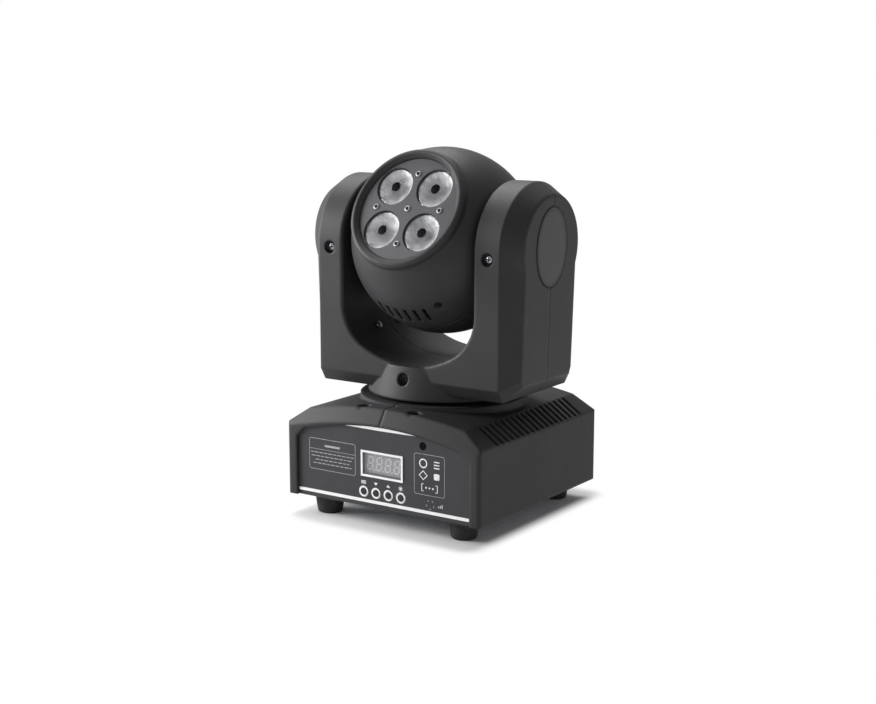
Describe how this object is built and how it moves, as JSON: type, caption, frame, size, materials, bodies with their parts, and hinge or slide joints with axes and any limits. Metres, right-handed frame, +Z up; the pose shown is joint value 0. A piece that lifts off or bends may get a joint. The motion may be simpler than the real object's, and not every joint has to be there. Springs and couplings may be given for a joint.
{
  "type": "double-sided moving head light",
  "caption": "Compact stage light: a base with controls, a motorised pan yoke and a tilting round head with a lamp face on each side.",
  "frame": {"origin": "floor under the rubber feet, on the pan axis", "axes": "+Z up along the pan axis, -Y towards the side with the display, +X along the tilt axis"},
  "size_m": [0.187, 0.165, 0.271],
  "materials": {
    "black_plastic": "satin",
    "panel_black": "matte",
    "silver_trim": "satin",
    "smoked_window": "gloss",
    "display_grey": "matte",
    "button_grey": "gloss",
    "circuit_board": "satin",
    "socket_black": "gloss",
    "zinc_steel": "satin",
    "rubber": "matte",
    "motor_steel": "satin",
    "belt_rubber": "matte",
    "alloy": "satin",
    "plate_grey": "satin",
    "clear_lens": "gloss",
    "led_white_board": "satin",
    "badge_black": "gloss"
  },
  "bodies": {
    "base": {"base_shell_left": "black_plastic", "base_shell_right": "black_plastic", "front_panel": "panel_black", "panel_trim": "silver_trim", "display_bezel": "silver_trim", "display_window": "smoked_window", "display_module": "display_grey", "button_switches": "socket_black", "remote_receiver": "socket_black", "microphone": "socket_black", "control_board": "circuit_board", "rear_panel": "panel_black", "mains_inlet": "socket_black", "fuse_holder": "socket_black", "data_in_socket": "socket_black", "data_out_socket": "socket_black", "base_tray": "zinc_steel", "rubber_feet": "rubber", "base_screws": "zinc_steel", "pan_deck": "zinc_steel", "deck_pillars": "zinc_steel", "pan_motor": "motor_steel", "pan_belt": "belt_rubber", "pan_bearing": "zinc_steel", "supply_board": "circuit_board", "main_board": "circuit_board"},
    "yoke": {"yoke_front_shell": "black_plastic", "yoke_rear_shell": "black_plastic", "badge_right": "badge_black", "badge_left": "badge_black", "yoke_frame": "zinc_steel", "tilt_bearings": "zinc_steel", "pan_shaft": "alloy", "pan_pulley": "alloy", "tilt_motor": "motor_steel", "tilt_belt": "belt_rubber", "driver_board": "circuit_board", "yoke_screws": "zinc_steel"},
    "head": {"head_front_shell": "black_plastic", "head_rear_shell": "black_plastic", "face_plate_front": "plate_grey", "face_plate_rear": "plate_grey", "lenses_front": "clear_lens", "lenses_rear": "clear_lens", "led_board_front": "led_white_board", "led_board_rear": "led_white_board", "heat_sink_front": "alloy", "heat_sink_rear": "alloy", "fan_frame": "socket_black", "tilt_axle_left": "zinc_steel", "tilt_axle_right": "zinc_steel", "tilt_pulley": "alloy", "head_screws": "zinc_steel"},
    "fan": {"fan_rotor": "socket_black"},
    "pan_pinion": {"pan_pinion": "alloy"},
    "tilt_pinion": {"tilt_pinion": "alloy"},
    "button_1": {"button_1": "button_grey"},
    "button_2": {"button_2": "button_grey"},
    "button_3": {"button_3": "button_grey"},
    "button_4": {"button_4": "button_grey"}
  },
  "joints": [
    {"name": "pan", "type": "hinge", "parent": "base", "child": "yoke", "pos_m": [0, 0, 0.0605], "axis": [0, 0, 1], "range_deg": [-270, 270]},
    {"name": "tilt", "type": "hinge", "parent": "yoke", "child": "head", "pos_m": [0, 0, 0.202], "axis": [1, 0, 0], "range_deg": [-195, 75]},
    {"name": "fan_spin", "type": "hinge", "parent": "head", "child": "fan", "pos_m": [0, 0, 0.202], "axis": [0, -0.866, 0.5], "continuous": true},
    {"name": "pan_pinion_spin", "type": "hinge", "parent": "base", "child": "pan_pinion", "pos_m": [0, 0.045, 0.0705], "axis": [0, 0, 1], "range_deg": [-1200, 1200]},
    {"name": "tilt_pinion_spin", "type": "hinge", "parent": "yoke", "child": "tilt_pinion", "pos_m": [0.08325, 0, 0.14], "axis": [1, 0, 0], "range_deg": [-790, 310]},
    {"name": "press_1", "type": "slide", "parent": "base", "child": "button_1", "axis": [0, 1, 0], "range_m": [0, 0.0005], "stiffness_N_per_m": 400, "springref_m": -0.0002},
    {"name": "press_2", "type": "slide", "parent": "base", "child": "button_2", "axis": [0, 1, 0], "range_m": [0, 0.0005], "stiffness_N_per_m": 400, "springref_m": -0.0002},
    {"name": "press_3", "type": "slide", "parent": "base", "child": "button_3", "axis": [0, 1, 0], "range_m": [0, 0.0005], "stiffness_N_per_m": 400, "springref_m": -0.0002},
    {"name": "press_4", "type": "slide", "parent": "base", "child": "button_4", "axis": [0, 1, 0], "range_m": [0, 0.0005], "stiffness_N_per_m": 400, "springref_m": -0.0002}
  ],
  "couplings": [
    {"joint": "pan_pinion_spin", "follows": "pan", "ratio": 4.4286},
    {"joint": "tilt_pinion_spin", "follows": "tilt", "ratio": 4}
  ]
}
